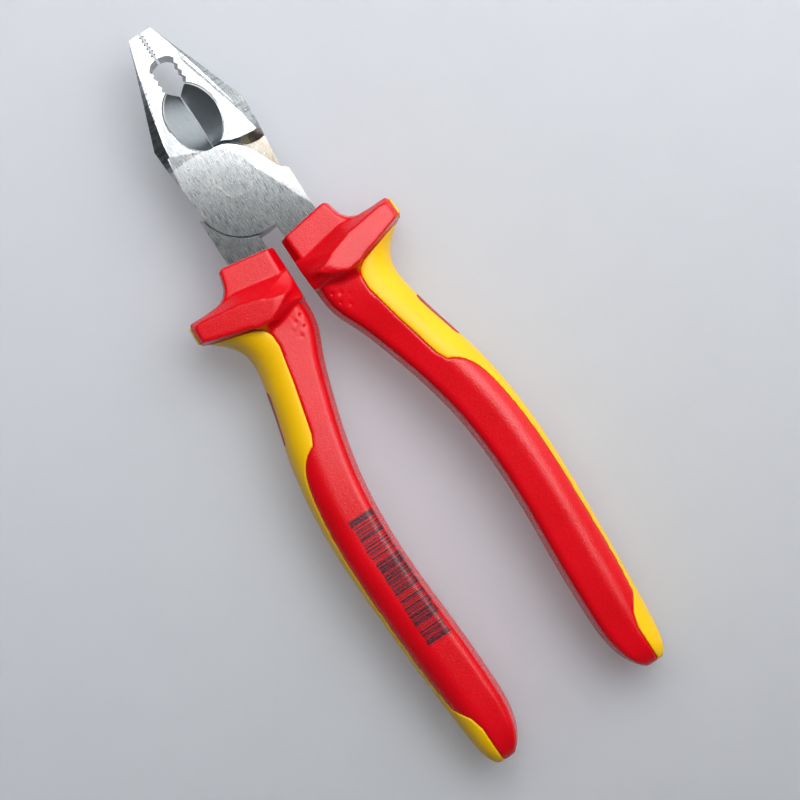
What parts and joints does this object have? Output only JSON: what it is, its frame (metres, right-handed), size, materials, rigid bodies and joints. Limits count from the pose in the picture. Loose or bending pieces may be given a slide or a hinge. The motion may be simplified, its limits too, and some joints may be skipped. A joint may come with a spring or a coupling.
{
  "type": "lineman pliers",
  "caption": "Insulated lineman combination pliers with a riveted lap joint, cutters, pipe grip and red and yellow moulded grips with finger guards.",
  "frame": {"origin": "on the joint's pivot axis, at the flat back face of the joint", "axes": "+Y from the pivot to the jaw tips, +X to the right handle, +Z out of the joint's front face along the pivot"},
  "size_m": [0.06, 0.1989, 0.0236],
  "materials": {
    "jaw_steel": "satin ground",
    "rivet_steel": "satin ground",
    "inner_insulation": "matte",
    "grip_red": "satin, fine grain",
    "grip_yellow": "matte, fine grain",
    "badge_red": "matte"
  },
  "bodies": {
    "back_body": {"back_half": "jaw_steel", "rivet": "rivet_steel", "left_inner_sleeve": "inner_insulation", "left_grip_shell": "grip_red", "left_soft_grip": "grip_yellow", "left_badge": "badge_red"},
    "front_body": {"front_half": "jaw_steel", "right_inner_sleeve": "inner_insulation", "right_grip_shell": "grip_red", "right_soft_grip": "grip_yellow", "right_badge": "badge_red"}
  },
  "joints": [
    {"name": "pivot", "type": "hinge", "parent": "back_body", "child": "front_body", "pos_m": [0, 0, 0.005], "axis": [0, 0, 1], "range_deg": [0, 30]}
  ]
}
